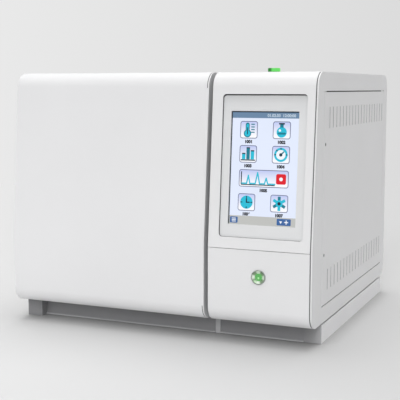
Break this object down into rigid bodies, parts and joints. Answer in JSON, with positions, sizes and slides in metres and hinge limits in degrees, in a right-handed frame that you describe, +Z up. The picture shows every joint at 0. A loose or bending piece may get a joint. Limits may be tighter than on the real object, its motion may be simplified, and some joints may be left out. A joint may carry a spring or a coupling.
{
  "type": "gas chromatograph",
  "caption": "Bench gas chromatograph: hinged oven door, leaning touch-screen tower with power button, lidded injector bay and slotted side cover on a rail base",
  "frame": {"origin": "bench level, under the middle of the whole machine, from the button ring in front to the gas fittings behind", "axes": "+X to the right seen from the front, -Y toward the user in front of the door, +Z up"},
  "size_m": [0.602, 0.5872, 0.487],
  "materials": {
    "body_paint": "satin",
    "beam_grey": "satin",
    "zinc_sheet": "satin",
    "stainless": "satin",
    "steel": "satin",
    "mineral_wool": "matte",
    "motor_grey": "satin",
    "heater_sheath": "matte",
    "column_brown": "satin",
    "aluminium": "satin",
    "black_plastic": "matte",
    "seal_grey": "matte",
    "magnet_dark": "matte",
    "bezel_plastic": "satin",
    "screen_glass": "gloss",
    "chrome_trim": "polished",
    "button_green": "gloss",
    "lamp_green": "gloss",
    "board_green": "satin",
    "brass": "satin"
  },
  "bodies": {
    "chassis": {"base_rails": "body_paint", "base_cross_members": "beam_grey", "chassis_floor": "zinc_sheet", "frame_rings": "zinc_sheet", "partition": "zinc_sheet", "rear_panel": "body_paint", "top_panel": "body_paint", "side_panel_left": "body_paint", "side_panel_right": "body_paint", "side_cover_right": "body_paint", "side_cover_screws": "steel", "oven_front_frame": "stainless", "oven_liner": "stainless", "oven_insulation": "mineral_wool", "oven_casing": "zinc_sheet", "oven_fan_motor": "motor_grey", "oven_fan_bracket": "zinc_sheet", "oven_baffle": "stainless", "oven_heater": "heater_sheath", "column_cage": "steel", "column_coil": "column_brown", "heated_blocks": "aluminium", "injector_bodies": "stainless", "injector_caps": "black_plastic", "detectors": "stainless", "vent_ducts": "zinc_sheet", "flap_stepper": "motor_grey", "hinge_pins": "steel", "door_hinge_brackets": "steel", "door_magnets": "magnet_dark", "lid_hinge_bases": "steel", "tower_upper_panel": "body_paint", "tower_lower_panel": "body_paint", "screen_bezel": "bezel_plastic", "touch_screen": "screen_glass", "display_module": "black_plastic", "display_bracket": "zinc_sheet", "button_ring": "chrome_trim", "panel_nuts": "steel", "status_lamp": "lamp_green", "main_board": "board_green", "power_supply": "aluminium", "flow_manifold": "aluminium", "gas_fittings": "brass", "gas_lines": "steel", "cooling_fan_frame": "black_plastic", "rear_connectors": "black_plastic"},
    "oven_door": {"door_skin": "body_paint", "door_end_caps": "body_paint", "door_liner": "stainless", "door_insulation": "mineral_wool", "door_seal": "seal_grey", "door_hinge_blocks": "steel"},
    "bay_lid": {"bay_lid": "body_paint", "lid_hinge_leaves": "steel"},
    "power_button": {"button_cap": "button_green"},
    "oven_fan": {"oven_fan_wheel": "stainless", "oven_fan_shaft": "steel"},
    "cooling_fan": {"cooling_fan_rotor": "black_plastic"},
    "vent_flaps": {"vent_flaps": "zinc_sheet"}
  },
  "joints": [
    {"name": "door_hinge", "type": "hinge", "parent": "chassis", "child": "oven_door", "pos_m": [-0.293, -0.2404, 0.24], "axis": [0, 0, -1], "range_deg": [0, 105]},
    {"name": "lid_hinge", "type": "hinge", "parent": "chassis", "child": "bay_lid", "pos_m": [-0.095, 0.1511, 0.4832], "axis": [-1, 0, 0], "range_deg": [0, 100]},
    {"name": "button_press", "type": "slide", "parent": "chassis", "child": "power_button", "axis": [0, 1, 0], "range_m": [0, 0.0025], "stiffness_N_per_m": 400},
    {"name": "oven_fan_spin", "type": "hinge", "parent": "chassis", "child": "oven_fan", "pos_m": [-0.095, 0.0096, 0.2213], "axis": [0, 1, 0], "continuous": true},
    {"name": "cooling_fan_spin", "type": "hinge", "parent": "chassis", "child": "cooling_fan", "pos_m": [0.204, 0.2496, 0.25], "axis": [0, 1, 0], "continuous": true},
    {"name": "flap_turn", "type": "hinge", "parent": "chassis", "child": "vent_flaps", "pos_m": [-0.095, 0.0964, 0.3013], "axis": [1, 0, 0], "range_deg": [0, 85]}
  ]
}
